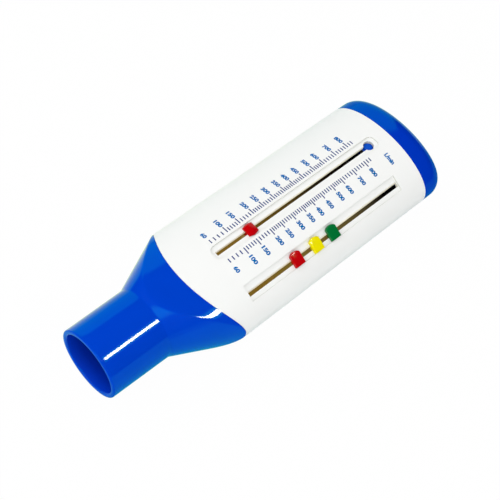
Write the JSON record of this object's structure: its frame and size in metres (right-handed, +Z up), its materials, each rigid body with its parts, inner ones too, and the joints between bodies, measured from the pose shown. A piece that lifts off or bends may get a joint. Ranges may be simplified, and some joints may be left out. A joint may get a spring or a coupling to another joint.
{
  "type": "peak flow meter",
  "caption": "Oval-bodied peak flow meter with funnel mouthpiece, sprung piston on a rod, pointer in a scale slot and three coloured zone markers in a side slot.",
  "frame": {"origin": "centre of the footprint at the lowest line of the oval body, with the meter lying on its back", "axes": "+X along the meter from the mouthpiece to the end cap, +Y across it, +Z up out of the scale face"},
  "size_m": [0.166, 0.054, 0.0329],
  "materials": {
    "white_body": "satin",
    "blue_plastic": "glossy",
    "natural_plastic": "matte",
    "dark_plastic": "matte",
    "steel": "bright",
    "rubber_buffer": "matte",
    "red_plastic": "glossy",
    "yellow_plastic": "glossy",
    "green_plastic": "glossy"
  },
  "bodies": {
    "housing": {"body_shell": "white_body", "mouthpiece_funnel": "blue_plastic", "end_cap": "blue_plastic", "rod_spider": "natural_plastic", "rod_front_clip": "steel", "guide_rod": "steel", "spring_anchor": "steel", "end_buffer": "rubber_buffer", "return_spring": "steel"},
    "piston": {"piston_plate": "natural_plastic", "piston_bush": "dark_plastic", "piston_clip": "steel"},
    "pointer": {"pointer": "red_plastic"},
    "marker_red": {"zone_marker_red": "red_plastic", "zone_keeper_red": "natural_plastic"},
    "marker_yellow": {"zone_marker_yellow": "yellow_plastic", "zone_keeper_yellow": "natural_plastic"},
    "marker_green": {"zone_marker_green": "green_plastic", "zone_keeper_green": "natural_plastic"}
  },
  "joints": [
    {"name": "piston_slide", "type": "slide", "parent": "housing", "child": "piston", "axis": [1, 0, 0], "range_m": [-0.0154, 0.06], "stiffness_N_per_m": 8, "springref_m": -0.0154, "deforming": ["return_spring"]},
    {"name": "pointer_slide", "type": "slide", "parent": "housing", "child": "pointer", "axis": [1, 0, 0], "range_m": [-0.0154, 0.06]},
    {"name": "red_marker_slide", "type": "slide", "parent": "housing", "child": "marker_red", "axis": [1, 0, 0], "range_m": [-0.0224, 0.0027]},
    {"name": "yellow_marker_slide", "type": "slide", "parent": "housing", "child": "marker_yellow", "axis": [1, 0, 0], "range_m": [-0.0027, 0.002]},
    {"name": "green_marker_slide", "type": "slide", "parent": "housing", "child": "marker_green", "axis": [1, 0, 0], "range_m": [-0.0021, 0.0351]}
  ],
  "couplings": [
    {"joint": "pointer_slide", "follows": "piston_slide", "ratio": 1}
  ]
}
